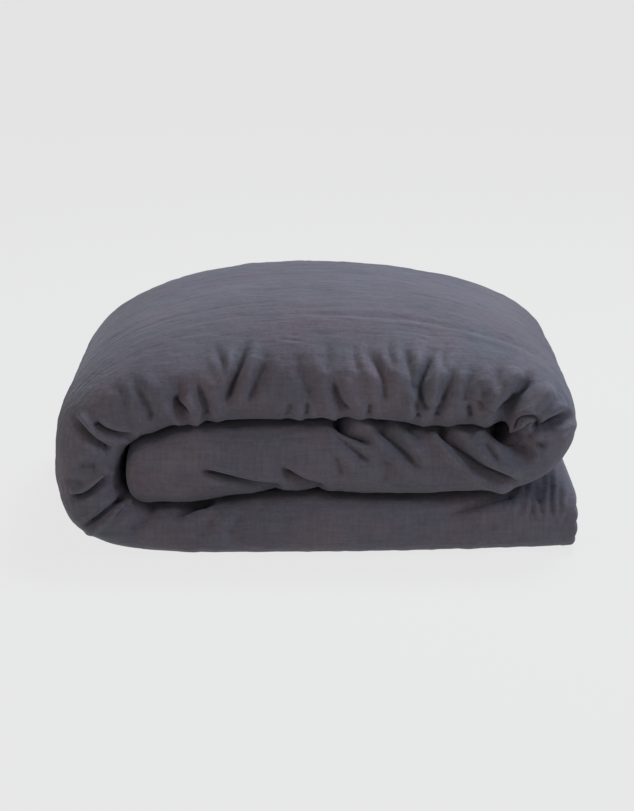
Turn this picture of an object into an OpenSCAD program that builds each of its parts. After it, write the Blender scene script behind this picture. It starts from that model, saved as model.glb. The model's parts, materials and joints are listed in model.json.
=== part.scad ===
// A duvet in its cover, folded in four along its width and then rolled over twice into a bundle.
// Millimetres, +Z up. The origin is under the middle of the bundle, on the surface it rests on.
// X runs along the rolled strip. The one round fold of the strip faces -Y, and its edges face +Y.
// From its loose end the strip runs left along the bottom, turns up, runs right as the crown,
// turns down and runs left again, inside the roll. It opens about the outside of its left turn.

/* [Bundle] */
// Length of the bundle, from the left turn to the loose end
bundle_length = 660; // [620:5:700]
// Depth of the bundle, a quarter of the duvet's width
bundle_depth = 500; // [440:5:560]
// Height of the bundle at its crown
bundle_height = 320; // [310:5:350]

/* [Runs of the strip] */
// Thickness of the bottom run at its loose end
loose_end_thickness = 77; // [72:1:80]
// Thickness of the bottom run where it meets the left turn
pressed_thickness = 69; // [64:1:72]
// Height of the outermost point of the left turn, where the roll opens
hinge_height = 123; // [120:1:126]
// Space between one run and the next
run_gap = 3; // [2:0.5:4]

/* [Cloth and filling] */
// Thickness of the cover's cloth
cover_cloth = 1.5; // [1:0.1:2]
// Thickness of the insert's ticking
ticking_cloth = 1.2; // [1:0.1:1.5]
// Filled channels along each run
channels = 6; // [4:1:8]
// Diameter of a button
button_diameter = 12; // [10:1:14]

/* [Hidden] */
LAYERS = 4;
RING_COVER = 20;
RING_TICKING = 16;
left_x = -bundle_length / 2;
loose_x = bundle_length / 2;
half_depth = bundle_depth / 2;

// The left turn: its middle, and the radius of the hollow inside it.
turn_outer = 127;
turn_inner = 43;
turn_x = left_x + turn_outer;

// The crown: its highest point, and the height of its underside at each end.
crown_x = -10;
under_left = 163;
under_right = 177;

// The right turn: its outer radius, how far it stands back from the loose end, its middle, and the
// pinch inside it.
right_outer = 95;
right_setback = 4;
pinch = 1;
right_x = loose_x - right_setback - right_outer;
right_z = under_right - pinch;

// The inner run: the length of its rounded blind end, where that starts inside the left turn, and
// the heights of the run at its two ends.
inner_end_round = 36;
inner_end_offset = 3;
inner_end_x = turn_x + inner_end_offset;
inner_low_right = loose_end_thickness + run_gap;
inner_low_left = pressed_thickness + run_gap + pinch;
inner_top_right = under_right - 2 * pinch;
inner_top_left = under_left - 2 * pinch;

// Half of the cut between the two halves of the left turn.
cut = 0.3;

// How far the crown's outline has turned where it passes the left turn and reaches the right one.
crown_left_angle = 50;
crown_right_angle = 41;

// The folded edge of a run: how square it is, how flat its faces are pressed, and the groove at
// the back between the first fold and the two side edges.
squareness = 2 / 3;
pressing = 1.15;
back_groove = 14;

// Room between the cover and the insert: at the faces, at the front and back, and at the ends.
face_room = 1.8;
edge_room = 14;
head_room = 18;
foot_room = 34;
ticking_inset = cover_cloth + face_room;
fill_inset = ticking_inset + ticking_cloth + face_room;
// Half of the gap at a line of stitching, as a share of a run's length, and of the gap between
// two layers, as a share of the strip's thickness.
quilt_gap = 0.003;
layer_gap = 0.012;
// How far the filling reaches: the nested layers to the front and the back, and the outer ones.
fill_front = half_depth - 36;
fill_back = half_depth - 48;
fill_outer = half_depth - 100;

// Colours
CLOTH_LOWER = [0.29, 0.28, 0.31];
CLOTH_UPPER = [0.36, 0.35, 0.39];
CLOTH_SEAM = [0.24, 0.23, 0.26];
CLOTH_BAND = [0.27, 0.26, 0.29];
TICKING = [0.93, 0.92, 0.88];
WADDING = [0.97, 0.96, 0.93];
TAPE = [0.85, 0.84, 0.8];
LOOP_CORD = [0.9, 0.89, 0.85];
BUTTON = [0.2, 0.19, 0.21];

// ---- The path of the strip: each point along it is a pair, on its outer and its inner face ----

function mix(a, b, f) = a + (b - a) * f;
function steps(first, last, count) = [for (i = [0 : count]) mix(first, last, i / count)];

// Height of the crown's outline over x, an ellipse on each side of its highest point.
crown_left = crown_x - left_x;
crown_right = right_x + right_outer - crown_x;
function crown_height(x) = x < crown_x
    ? mix(hinge_height, bundle_height, sqrt(max(0, 1 - pow((crown_x - x) / crown_left, 2))))
    : mix(right_z, bundle_height, sqrt(max(0, 1 - pow((x - crown_x) / crown_right, 2))));
crown_start_x = crown_x - crown_left * cos(crown_left_angle);
crown_end_x = crown_x + crown_right * cos(crown_right_angle);
crown_top = (crown_x - crown_start_x) / (crown_end_x - crown_start_x);

function bottom_run(f) = let (x = mix(loose_x, turn_x, f))
    [[x, 0], [x, mix(loose_end_thickness, pressed_thickness, f)]];

function lower_turn(f) = let (a = 90 * f, z = hinge_height - cut) [
    [turn_x - turn_outer * sin(a), z - z * cos(a)],
    [turn_x - turn_inner * sin(a), z - (z - pressed_thickness) * cos(a)]
];

function upper_turn(f) = let (a = 90 * f, b = crown_left_angle * f, z = hinge_height + cut) [
    [crown_x - crown_left * cos(b), z + (bundle_height - z) * sin(b)],
    [turn_x - turn_inner * cos(a), z + (under_left - z) * sin(a)]
];

function crown_run(f) = let (x = mix(crown_start_x, crown_end_x, f))
    [[x, crown_height(x)], [mix(turn_x, right_x, f), mix(under_left, under_right, f)]];

function right_turn(f) = let (a = 90 - 180 * f, b = crown_right_angle * a / 90) [
    a > 0 ? [crown_x + crown_right * cos(b), right_z + (bundle_height - right_z) * sin(b)]
          : [right_x + right_outer * cos(a), right_z + (right_z - inner_low_right) * sin(a)],
    [right_x + pinch * cos(a), right_z + (right_z - inner_top_right) * sin(a)]
];

function inner_run(f) = let (x = mix(right_x, inner_end_x, f))
    [[x, mix(inner_low_right, inner_low_left, f)], [x, mix(inner_top_right, inner_top_left, f)]];

// ---- Cloth shells: rings round the strip, joined into one closed surface ----

// The loose end's edges are rounded: [distance from the end, height scale, depth scale].
LOOSE_END = [[0, 0.8, 0.96], [8, 0.95, 0.99], [24, 1, 1]];
// Places of the rings along the blind end, as shares of its length.
BLIND_END = [0, 0.5, 0.8, 0.95];

// A ring is [pair, height scale, depth scale].
function lower_rings(end_inset) = concat(
    [for (e = LOOSE_END)
        [bottom_run((end_inset + e[0]) / (loose_x - turn_x)), e[1], e[2]]],
    [for (f = steps(0.35, 1, 2)) [bottom_run(f), 1, 1]],
    [for (f = steps(1 / 6, 1, 5)) [lower_turn(f), 1, 1]]
);

// The blind end of the inner run, rounded over its last stretch.
function inner_end(end_inset, u) = let (
    last = inner_run(1),
    reach = (inner_end_round - min(end_inset, inner_end_round / 2)) * u,
    back = max(0, end_inset - inner_end_round / 2)
) [
    [last[0] + [back - reach, 0], last[1] + [back - reach, 0]],
    sqrt(1 - u * u),
    mix(1, 0.9, u * u)
];

function upper_rings(end_inset) = concat(
    [for (f = steps(0, 1, 6)) [upper_turn(f), 1, 1]],
    [for (f = steps(crown_top / 5, crown_top, 4)) [crown_run(f), 1, 1]],
    [for (f = steps(mix(crown_top, 1, 0.2), 1, 4)) [crown_run(f), 1, 1]],
    [for (f = steps(0.1, 1, 9)) [right_turn(f), 1, 1]],
    [for (f = steps(0.35, 0.85, 2)) [inner_run(f), 1, 1]],
    [for (u = BLIND_END) inner_end(end_inset, u)]
);

function powered(value) = sign(value) * pow(abs(value), squareness);
function ring_height(a) = max(-1, min(1, pressing * powered(sin(a))));

// The two points beside the groove are carried out to the full depth.
function ring_depth(a, i, count, half, groove) =
    i == 0 ? half - groove : (i == 1 || i == count - 1) ? half : half * powered(cos(a));

function ring_points(ring, inset, edge_inset, count, groove) = let (
    middle = (ring[0][0] + ring[0][1]) / 2,
    reach = (ring[0][0] - ring[0][1]) / 2,
    scale_h = (norm(reach) - inset) / norm(reach) * ring[1],
    half = (half_depth - edge_inset) * ring[2]
) [
    for (i = [0 : count - 1]) let (a = 360 * i / count, p = middle + reach * scale_h * ring_height(a))
        [p[0], ring_depth(a, i, count, half, groove), p[1]]
];

// Two triangles for each cell between ring r and ring r + 1, counted from point number first.
function band(first, r, count, flip) = [
    for (i = [0 : count - 1]) let (
        a = first + r * count + i,
        b = first + r * count + (i + 1) % count,
        c = a + count,
        d = b + count
    ) each (flip ? [[a, c, b], [b, c, d]] : [[a, b, c], [b, d, c]])
];

// A bag of cloth, closed at one end of the run and cut open at the other.
module cloth_bag(outer, inner, inset, cloth, edge_inset, count, groove, closed_last) {
    total = len(outer);
    second = total * count;
    points = concat(
        [for (ring = outer) each ring_points(ring, inset, edge_inset, count, groove)],
        [for (ring = inner) each ring_points(ring, inset + cloth, edge_inset + cloth, count, groove)]
    );
    closed = closed_last ? total - 1 : 0;
    open = closed_last ? 0 : total - 1;
    cap = [for (i = [0 : count - 1]) closed * count + i];
    turned = [for (i = [0 : count - 1]) closed * count + count - 1 - i];
    rim = [for (i = [0 : count - 1]) let (
        a = open * count + i,
        b = open * count + (i + 1) % count,
        c = second + a,
        d = second + b
    ) each (closed_last ? [[a, c, b], [b, c, d]] : [[a, b, c], [b, d, c]])];
    faces = concat(
        [for (r = [0 : total - 2]) each band(0, r, count, false)],
        [for (r = [0 : total - 2]) each band(second, r, count, true)],
        [closed_last ? cap : turned],
        [[for (i = closed_last ? turned : cap) second + i]],
        rim
    );
    polyhedron(points, [for (face = faces) [for (i = [len(face) - 1 : -1 : 0]) face[i]]]);
}

module cover_lower() {
    color(CLOTH_LOWER)
        cloth_bag(lower_rings(0), lower_rings(cover_cloth), 0, cover_cloth, 0,
            RING_COVER, back_groove, false);
}

module cover_upper() {
    color(CLOTH_UPPER)
        cloth_bag(upper_rings(0), upper_rings(cover_cloth), 0, cover_cloth, 0,
            RING_COVER, back_groove, true);
}

module ticking_lower() {
    color(TICKING)
        cloth_bag(lower_rings(head_room), lower_rings(head_room + ticking_cloth),
            ticking_inset, ticking_cloth, edge_room, RING_TICKING, back_groove, false);
}

module ticking_upper() {
    color(TICKING)
        cloth_bag(upper_rings(foot_room), upper_rings(foot_room + ticking_cloth),
            ticking_inset, ticking_cloth, edge_room, RING_TICKING, back_groove, true);
}

// ---- Filling: quilted channels, each a pillow between two lines of stitching ----

RUNS = ["bottom", "lower turn", "upper turn", "crown", "right turn", "inner"];
function pair(run, f) =
    run == "bottom" ? bottom_run(f) :
    run == "lower turn" ? lower_turn(f) :
    run == "upper turn" ? upper_turn(f) :
    run == "crown" ? crown_run(f) :
    run == "right turn" ? right_turn(f) : inner_run(f);

// A point inside the strip: height 0 is its outer face and 1 its inner face, less the inset.
function inside(run, f, height, inset) = let (
    p = pair(run, f),
    along = (p[1] - p[0]) / norm(p[1] - p[0])
) p[0] + along * mix(inset, norm(p[1] - p[0]) - inset, height);

// A slice of a run between two places along it, drawn out from y = front to y = back.
module slice(run, from, to, low, high, inset, front, back, pillow = 0.45, cuts = 6) {
    fullness = [for (u = steps(-1, 1, cuts)) mix(pillow, 1, sqrt(1 - pow(abs(u), 3)))];
    middle = (low + high) / 2;
    half = (high - low) / 2;
    places = steps(from, to, cuts);
    translate([0, back, 0])
        rotate([90, 0, 0])
            linear_extrude(height = back - front)
                polygon(concat(
                    [for (i = [0 : cuts]) inside(run, places[i], middle - half * fullness[i], inset)],
                    [for (i = [cuts : -1 : 0]) inside(run, places[i], middle + half * fullness[i], inset)]
                ));
}

// The two outer layers stop where the folded edges start to round off. The two nested layers
// reach further into the fold.
module layer_fill(run, layer, from, to, count) {
    nested = layer > 1 && layer < LAYERS;
    for (i = [0 : count - 1])
        slice(run,
            mix(from, to, i / count) + quilt_gap,
            mix(from, to, (i + 1) / count) - quilt_gap,
            (layer - 1) / LAYERS + layer_gap, layer / LAYERS - layer_gap,
            fill_inset, nested ? -fill_front : -fill_outer, nested ? fill_back : fill_outer);
}

module bottom_fill(layer) {
    color(WADDING) layer_fill("bottom", layer, 0.06, 0.98, channels);
}

module crown_fill(layer) {
    color(WADDING) layer_fill("crown", layer, 0.01, 0.98, channels);
}

module inner_fill(layer) {
    color(WADDING) layer_fill("inner", layer, 0.03, 0.93, channels - 1);
}

module bottom_fill_1() { bottom_fill(1); }
module bottom_fill_2() { bottom_fill(2); }
module bottom_fill_3() { bottom_fill(3); }
module bottom_fill_4() { bottom_fill(4); }
module crown_fill_1() { crown_fill(1); }
module crown_fill_2() { crown_fill(2); }
module crown_fill_3() { crown_fill(3); }
module crown_fill_4() { crown_fill(4); }
module inner_fill_1() { inner_fill(1); }
module inner_fill_2() { inner_fill(2); }
module inner_fill_3() { inner_fill(3); }
module inner_fill_4() { inner_fill(4); }

module left_turn_fill_lower() {
    color(WADDING)
        for (layer = [1 : LAYERS]) layer_fill("lower turn", layer, 0.02, 0.97, 1);
}

module left_turn_fill_upper() {
    color(WADDING)
        for (layer = [1 : LAYERS]) layer_fill("upper turn", layer, 0.03, 0.98, 1);
}

module right_turn_fill() {
    color(WADDING)
        for (layer = [1 : LAYERS]) layer_fill("right turn", layer, 0.02, 0.98, 3);
}

// ---- Seams and bindings: long edges of the cover and of the insert, at the back of the strip ----

// Each edge is [lower height, upper height, its back], for the two side edges of the duvet.
SEAM_EDGES = [[0.58, 0.63, half_depth - 12.8], [0.68, 0.73, half_depth - 8.2]];
BINDING_EDGES = [[0.58, 0.63, half_depth - 18.6], [0.68, 0.73, half_depth - 13.8]];
seam_depth = 4;
binding_depth = 2.2;

// Stretches of each run that carry an edge: [run, from, to, number of cuts].
LOWER_EDGE = [["bottom", 0.08, 0.98, 4], ["lower turn", 0.01, 0.98, 6]];
UPPER_EDGE = [
    ["upper turn", 0.02, 0.98, 6], ["crown", 0.01, 0.99, 8],
    ["right turn", 0.02, 0.98, 12], ["inner", 0.02, 0.9, 4]
];

module long_edges(runs, edges, depth) {
    for (r = runs, e = edges)
        slice(r[0], r[1], r[2], e[0], e[1], fill_inset, e[2] - depth, e[2], 1, r[3]);
}

module side_seams(runs) {
    color(CLOTH_SEAM) long_edges(runs, SEAM_EDGES, seam_depth);
}

module insert_binding(runs) {
    color(TAPE) long_edges(runs, BINDING_EDGES, binding_depth);
}

module side_seams_lower() { side_seams(LOWER_EDGE); }
module side_seams_upper() { side_seams(UPPER_EDGE); }
module insert_binding_lower() { insert_binding(LOWER_EDGE); }
module insert_binding_upper() { insert_binding(UPPER_EDGE); }

// ---- The two ends of the cover ----

// The closed seam across the head end, four layers of it, just inside the loose end of the strip.
HEAD_SEAM_HEIGHTS = [0.22, 0.42, 0.55, 0.72];
head_seam_height = 0.06;
head_seam_from = 6;
head_seam_to = 12;
seam_room = 10;
module head_seam() {
    span = loose_x - turn_x;
    color(CLOTH_SEAM)
        for (h = HEAD_SEAM_HEIGHTS)
            slice("bottom", head_seam_from / span, head_seam_to / span,
                h, h + head_seam_height, seam_room, -fill_outer, fill_outer, 1, 1);
}

// The foot end's bands of folded cloth, which button together, inside the blind end of the roll.
placket_room = 24;
placket_from = 6;
placket_to = 24;
inner_span = right_x - inner_end_x;
BAND_HEIGHTS = [0, 0.31, 0.61, 0.92];
band_height = 0.08;
module foot_placket() {
    color(CLOTH_BAND)
        for (h = BAND_HEIGHTS)
            slice("inner", 1 + placket_from / inner_span, 1 + placket_to / inner_span,
                h, h + band_height, placket_room, -fill_outer, fill_outer, 1, 1);
}

// Buttons between the first and second bands, and between the third and fourth.
BUTTON_HEIGHTS = [0.195, 0.805];
button_thickness = 3;
button_pitch = 96;
thread_hole = 1.4;
module foot_buttons() {
    placket_middle = 1 + (placket_from + placket_to) / 2 / inner_span;
    color(BUTTON)
        for (h = BUTTON_HEIGHTS, i = [-1.5 : 1.5]) {
            at = inside("inner", placket_middle, h, placket_room);
            translate([at[0], i * button_pitch, at[1]]) button();
        }
}

module button() {
    difference() {
        cylinder(d = button_diameter, h = button_thickness, center = true, $fn = 48);
        for (a = [45 : 90 : 315])
            rotate([0, 0, a])
                translate([button_diameter / 7, 0, 0])
                    cylinder(d = thread_hole, h = button_thickness + 1, center = true, $fn = 24);
    }
}

// ---- Ties and loops that hold the insert in the corners of the cover ----

// The corners lie at the back of the strip, one above the other: [x, z] of each.
loop_y = half_depth - 47;
knot_y = loop_y + 9;
loop_radius = 3.2;
loop_cord = 0.7;
tie_cord = 0.6;
tie_length = 15;
tail_length = 9;
tail_spread = 24;
knot_radius = 2.6;
HEAD_CORNERS = [[loose_x - 12.5, 43], [loose_x - 12.5, 53]];
FOOT_CORNERS = [[inner_end_x - 11, 109], [inner_end_x - 11, 121]];

// A cord through the loop, knotted behind it, with two short tails.
module corner_tie(at) {
    translate([at[0], knot_y, at[1]]) {
        sphere(r = knot_radius, $fn = 32);
        rotate([90, 0, 0]) cylinder(r = tie_cord, h = tie_length, $fn = 24);
        for (side = [-1, 1])
            rotate([-90, 0, side * tail_spread]) cylinder(r = tie_cord, h = tail_length, $fn = 24);
    }
}

module corner_loop(at) {
    translate([at[0], loop_y, at[1]])
        rotate([90, 0, 0])
            rotate_extrude($fn = 48)
                translate([loop_radius, 0])
                    circle(r = loop_cord, $fn = 24);
}

module head_ties() { color(CLOTH_BAND) for (at = HEAD_CORNERS) corner_tie(at); }
module foot_ties() { color(CLOTH_BAND) for (at = FOOT_CORNERS) corner_tie(at); }
module head_loops() { color(LOOP_CORD) for (at = HEAD_CORNERS) corner_loop(at); }
module foot_loops() { color(LOOP_CORD) for (at = FOOT_CORNERS) corner_loop(at); }

cover_lower();
cover_upper();
ticking_lower();
ticking_upper();
bottom_fill_1();
bottom_fill_2();
bottom_fill_3();
bottom_fill_4();
left_turn_fill_lower();
left_turn_fill_upper();
crown_fill_1();
crown_fill_2();
crown_fill_3();
crown_fill_4();
right_turn_fill();
inner_fill_1();
inner_fill_2();
inner_fill_3();
inner_fill_4();
side_seams_lower();
side_seams_upper();
insert_binding_lower();
insert_binding_upper();
head_seam();
foot_placket();
foot_buttons();
head_ties();
foot_ties();
head_loops();
foot_loops();
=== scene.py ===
import json
import math

import bpy
import numpy as np
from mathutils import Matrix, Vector


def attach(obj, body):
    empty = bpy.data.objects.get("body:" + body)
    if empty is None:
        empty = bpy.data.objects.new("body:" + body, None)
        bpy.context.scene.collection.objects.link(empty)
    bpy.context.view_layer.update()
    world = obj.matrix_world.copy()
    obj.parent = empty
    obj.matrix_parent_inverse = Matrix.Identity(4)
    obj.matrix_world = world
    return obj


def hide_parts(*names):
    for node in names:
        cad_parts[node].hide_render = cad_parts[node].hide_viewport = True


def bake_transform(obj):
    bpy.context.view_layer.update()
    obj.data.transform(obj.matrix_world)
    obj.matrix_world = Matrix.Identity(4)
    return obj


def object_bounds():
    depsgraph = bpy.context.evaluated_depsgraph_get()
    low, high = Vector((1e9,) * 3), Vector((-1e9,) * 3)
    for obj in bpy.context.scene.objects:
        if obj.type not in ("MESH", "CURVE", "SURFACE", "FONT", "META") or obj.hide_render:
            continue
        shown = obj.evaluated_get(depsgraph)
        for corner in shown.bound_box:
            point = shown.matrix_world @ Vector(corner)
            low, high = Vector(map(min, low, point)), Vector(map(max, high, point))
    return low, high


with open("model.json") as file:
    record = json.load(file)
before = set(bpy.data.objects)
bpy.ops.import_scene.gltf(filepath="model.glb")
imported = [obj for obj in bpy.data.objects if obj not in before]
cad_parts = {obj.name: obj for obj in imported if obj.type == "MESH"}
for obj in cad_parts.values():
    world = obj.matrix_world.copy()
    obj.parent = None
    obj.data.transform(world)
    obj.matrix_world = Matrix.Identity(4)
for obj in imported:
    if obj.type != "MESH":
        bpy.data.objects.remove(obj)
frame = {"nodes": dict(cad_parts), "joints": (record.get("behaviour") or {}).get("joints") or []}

CAD_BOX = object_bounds()

# ---------------------------------------------------------------------------------------------
# Sizes. Shapes are worked out in millimetres, with x to the right, y away and z up, and become
# metres when a mesh is made. The strip is the duvet folded in four; it is rolled up in runs.
# ---------------------------------------------------------------------------------------------
MM = 0.001
LEFT, RIGHT = CAD_BOX[0][0] / MM, CAD_BOX[1][0] / MM
DEPTH = (CAD_BOX[1][1] - CAD_BOX[0][1]) / MM
HEIGHT = CAD_BOX[1][2] / MM
HALF = DEPTH / 2
HINGE_Z = frame["joints"][0]["pos_m"][2] / MM

TURN_X = LEFT + 127          # middle of the left turn
# The hollow inside the left turn, from the bottom run round to the crown.
HOLLOW = [(TURN_X, 65), (TURN_X - 20, 68), (TURN_X - 35, 78), (TURN_X - 45, 90), (TURN_X - 49, 104),
          (TURN_X - 48, 116), (TURN_X - 43, 130), (TURN_X - 35, 143), (TURN_X - 20, 153), (TURN_X, 158)]
RIGHT_X = RIGHT - 97         # middle of the right turn
RIGHT_OUT = 97               # its outer radius
RIGHT_Z = 172                # its middle's height
CROWN_X = LEFT + 320         # highest point of the crown
LEFT_OUT = LEFT - 6          # the cloth stands this far proud on the left
CROWN_LEFT_FULL = 2.3        # how full the crown's shoulders are: 2 is an ellipse
CROWN_RIGHT_FULL = 2.1
CROWN_LEFT_ANGLE = 50        # how far the crown's outline has turned where the left turn ends
CROWN_RIGHT_ANGLE = 41       # and where the right turn begins
INNER_END = TURN_X - 4       # where the inner run starts to round off
TURN_FULLNESS = 0.74         # the outer side of the left turn: 1 is a quarter of an ellipse
PINCH_X, PINCH_Z = 8, 1.5    # the right turn's inner side is almost shut
RUN_STATIONS = 240           # stations in each run before they are spaced evenly

# Where two runs meet: height of the contact over x, from the left to the right.
UPPER_CONTACT = [(-330, 153), (-245, 154), (-208, 158), (-186, 167), (-160, 174), (-100, 176), (0, 180),
                 (60, 179), (100, 176), (150, 170), (200, 173), (260, 172)]
LOWER_CONTACT = [(-330, 66), (-200, 66), (-150, 66), (-110, 75), (-60, 82), (0, 83), (50, 78),
                 (120, 78), (200, 81), (260, 84), (330, 80)]
LOWER_GAP, UPPER_GAP = 1, 2  # how far the cloth stays off the contact line

# Run numbers along the strip, used as a running coordinate: run 3.5 is the middle of the crown.
BOTTOM, LOWER_TURN, UPPER_TURN, CROWN, RIGHT_TURN, INNER = range(6)


def smooth(value, low=0.0, high=1.0):
    t = np.clip((value - low) / (high - low), 0, 1)
    return t * t * (3 - 2 * t)


def along(table, x):
    return np.interp(x, [p[0] for p in table], [p[1] for p in table])


def bell(value, middle, width):
    return np.exp(-((value - middle) / width) ** 2)


def blurred(values, reach):
    """Values along the strip, each the weighted mean of its neighbours within reach."""
    k = np.exp(-np.linspace(-2, 2, 4 * reach + 1) ** 2)
    k /= k.sum()
    pad = 2 * reach
    ends = np.concatenate([np.repeat(values[:1], pad, 0), values, np.repeat(values[-1:], pad, 0)])
    if values.ndim == 1:
        return np.convolve(ends, k, "valid")
    return np.stack([np.convolve(ends[:, i], k, "valid") for i in range(values.shape[1])], 1)


def curve_through(line, count):
    """A smooth curve through the points of a line (Catmull-Rom)."""
    p = np.asarray(line, float)
    p = np.concatenate([[2 * p[0] - p[1]], p, [2 * p[-1] - p[-2]]])
    t = np.linspace(0, len(p) - 3 - 1e-9, count)
    i = t.astype(int)
    f = (t - i)[:, None]
    a, b, c, d = p[i], p[i + 1], p[i + 2], p[i + 3]
    squared = (2 * a - 5 * b + 4 * c - d) * f ** 2
    cubed = (3 * b - a - 3 * c + d) * f ** 3
    return 0.5 * (2 * b + (c - a) * f + squared + cubed)


# ---------------------------------------------------------------------------------------------
# Noise: smooth random values on a lattice, the same on every run
# ---------------------------------------------------------------------------------------------
def lattice(ix, iy, iz, seed):
    n = (ix * 73856093) ^ (iy * 19349663) ^ (iz * 83492791) ^ (seed * 2654435761)
    n = (n ^ (n >> 13)) * 1274126177
    n = (n ^ (n >> 16)) & 0x7FFFFFFF
    return n / 0x3FFFFFFF - 1.0


def noise(points, size, seed):
    """Smooth noise from -1 to 1 at points; size is one number or one for each axis, in mm."""
    q = points / np.asarray(size, float) + 1000.5
    cell = np.floor(q).astype(np.int64)
    f = q - cell
    f = f * f * f * (f * (f * 6 - 15) + 10)
    total = np.zeros(points.shape[:-1])
    for corner in range(8):
        dx, dy, dz = corner & 1, corner >> 1 & 1, corner >> 2 & 1
        weight = (f[..., 0] if dx else 1 - f[..., 0])
        weight = weight * (f[..., 1] if dy else 1 - f[..., 1])
        weight = weight * (f[..., 2] if dz else 1 - f[..., 2])
        total += weight * lattice(cell[..., 0] + dx, cell[..., 1] + dy, cell[..., 2] + dz, seed)
    return total


def creases(points, size, seed, sharp=0.12):
    """Thin valleys, from 0 to 1, where a noise field passes through zero."""
    n = noise(points, size, seed)
    patches = np.abs(noise(points, np.asarray(size) * 1.7, seed + 7))
    return np.exp(-(n / sharp) ** 2) * smooth(patches, 0.05, 0.4)


# ---------------------------------------------------------------------------------------------
# The path of the strip: for each station a point on the outer face, one on the inner face of the
# strip, in the x-z plane, and its run number
# ---------------------------------------------------------------------------------------------
def crown_outline(angle, right):
    """The crown's outline: angle 0 at the level of its widest point, 90 at the top."""
    a = np.radians(angle)
    full = CROWN_RIGHT_FULL if right else CROWN_LEFT_FULL
    c = np.clip(np.cos(a), 0, 1) ** (2 / full)
    s = np.clip(np.sin(a), 0, 1) ** (2 / full)
    if right:
        reach = RIGHT_X + RIGHT_OUT - CROWN_X
        return np.stack([CROWN_X + reach * c, RIGHT_Z + (HEIGHT - RIGHT_Z) * s], 1)
    return np.stack([CROWN_X - (CROWN_X - LEFT_OUT) * c, HINGE_Z + (HEIGHT - HINGE_Z) * s], 1)


def crown_over(x):
    """The height of the crown's outline over x."""
    left = np.clip((CROWN_X - x) / (CROWN_X - LEFT_OUT), 0, 1) ** CROWN_LEFT_FULL
    right = np.clip((x - CROWN_X) / (RIGHT_X + RIGHT_OUT - CROWN_X), 0, 1) ** CROWN_RIGHT_FULL
    return np.where(x < CROWN_X,
                    HINGE_Z + (HEIGHT - HINGE_Z) * (1 - left) ** (1 / CROWN_LEFT_FULL),
                    RIGHT_Z + (HEIGHT - RIGHT_Z) * (1 - right) ** (1 / CROWN_RIGHT_FULL))


def strip_path(spacing):
    """Points of the strip's outer face and inner face, and run numbers, evenly spaced along it."""
    outer, inner, run = [], [], []

    def add(number, f, outside, inside):
        run.append(number + f)
        outer.append(outside)
        inner.append(inside)

    f = np.linspace(0, 1, RUN_STATIONS, endpoint=False)
    x = RIGHT + (TURN_X - RIGHT) * f
    add(BOTTOM, f, np.stack([x, 0 * x], 1), np.stack([x, along(LOWER_CONTACT, x) - LOWER_GAP], 1))

    a = np.radians(90 * f)
    hollow = curve_through(HOLLOW, 2 * len(f) + 1)
    turn_x = TURN_X - (TURN_X - LEFT_OUT) * np.sin(a) ** TURN_FULLNESS
    turn_z = HINGE_Z * (1 - np.cos(a) ** TURN_FULLNESS)
    add(LOWER_TURN, f, np.stack([turn_x, turn_z], 1), hollow[:len(f)])
    add(UPPER_TURN, f, crown_outline(CROWN_LEFT_ANGLE * f, False), hollow[len(f):-1])

    x0 = crown_outline(np.array([CROWN_LEFT_ANGLE]), False)[0, 0]
    x1 = crown_outline(np.array([CROWN_RIGHT_ANGLE]), True)[0, 0]
    x = x0 + (x1 - x0) * f
    under = TURN_X + (RIGHT_X - TURN_X) * f
    add(CROWN, f, np.stack([x, crown_over(x)], 1), np.stack([under, along(UPPER_CONTACT, under)], 1))

    a = np.radians(90 - 180 * f)
    lower_reach = RIGHT_Z - along(LOWER_CONTACT, RIGHT_X) - LOWER_GAP
    turning = np.stack([RIGHT_X + RIGHT_OUT * np.cos(a), RIGHT_Z + lower_reach * np.sin(a)], 1)
    falling = crown_outline(CROWN_RIGHT_ANGLE * np.degrees(a) / 90, True)
    add(RIGHT_TURN, f, np.where((a > 0)[:, None], falling, turning),
        np.stack([RIGHT_X + PINCH_X * np.cos(a), RIGHT_Z + PINCH_Z * np.sin(a)], 1))

    x = RIGHT_X + (INNER_END - RIGHT_X) * f
    add(INNER, f, np.stack([x, along(LOWER_CONTACT, x) + LOWER_GAP], 1),
        np.stack([x, along(UPPER_CONTACT, x) - UPPER_GAP], 1))

    outer, inner, run = np.concatenate(outer), np.concatenate(inner), np.concatenate(run)
    outer, inner = blurred(outer, 9), blurred(inner, 8)
    middle = (outer + inner) / 2
    step = np.maximum(np.linalg.norm(np.diff(outer, axis=0), axis=1),
                      np.linalg.norm(np.diff(middle, axis=0), axis=1))
    length = np.concatenate([[0], np.cumsum(step)])
    at = np.linspace(0, length[-1], int(length[-1] / spacing))

    def pick(values):
        return np.interp(at, length, values)

    outer = np.stack([pick(outer[:, 0]), pick(outer[:, 1])], 1)
    inner = np.stack([pick(inner[:, 0]), pick(inner[:, 1])], 1)
    return outer, inner, pick(run)


# How the folded section of the strip changes along it: (run number, value).
NOSE_HEIGHT = [(0, 0), (2, 0), (3, -0.10), (3.5, -0.32), (4, -0.15), (4.4, 0), (6, 0)]
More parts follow.
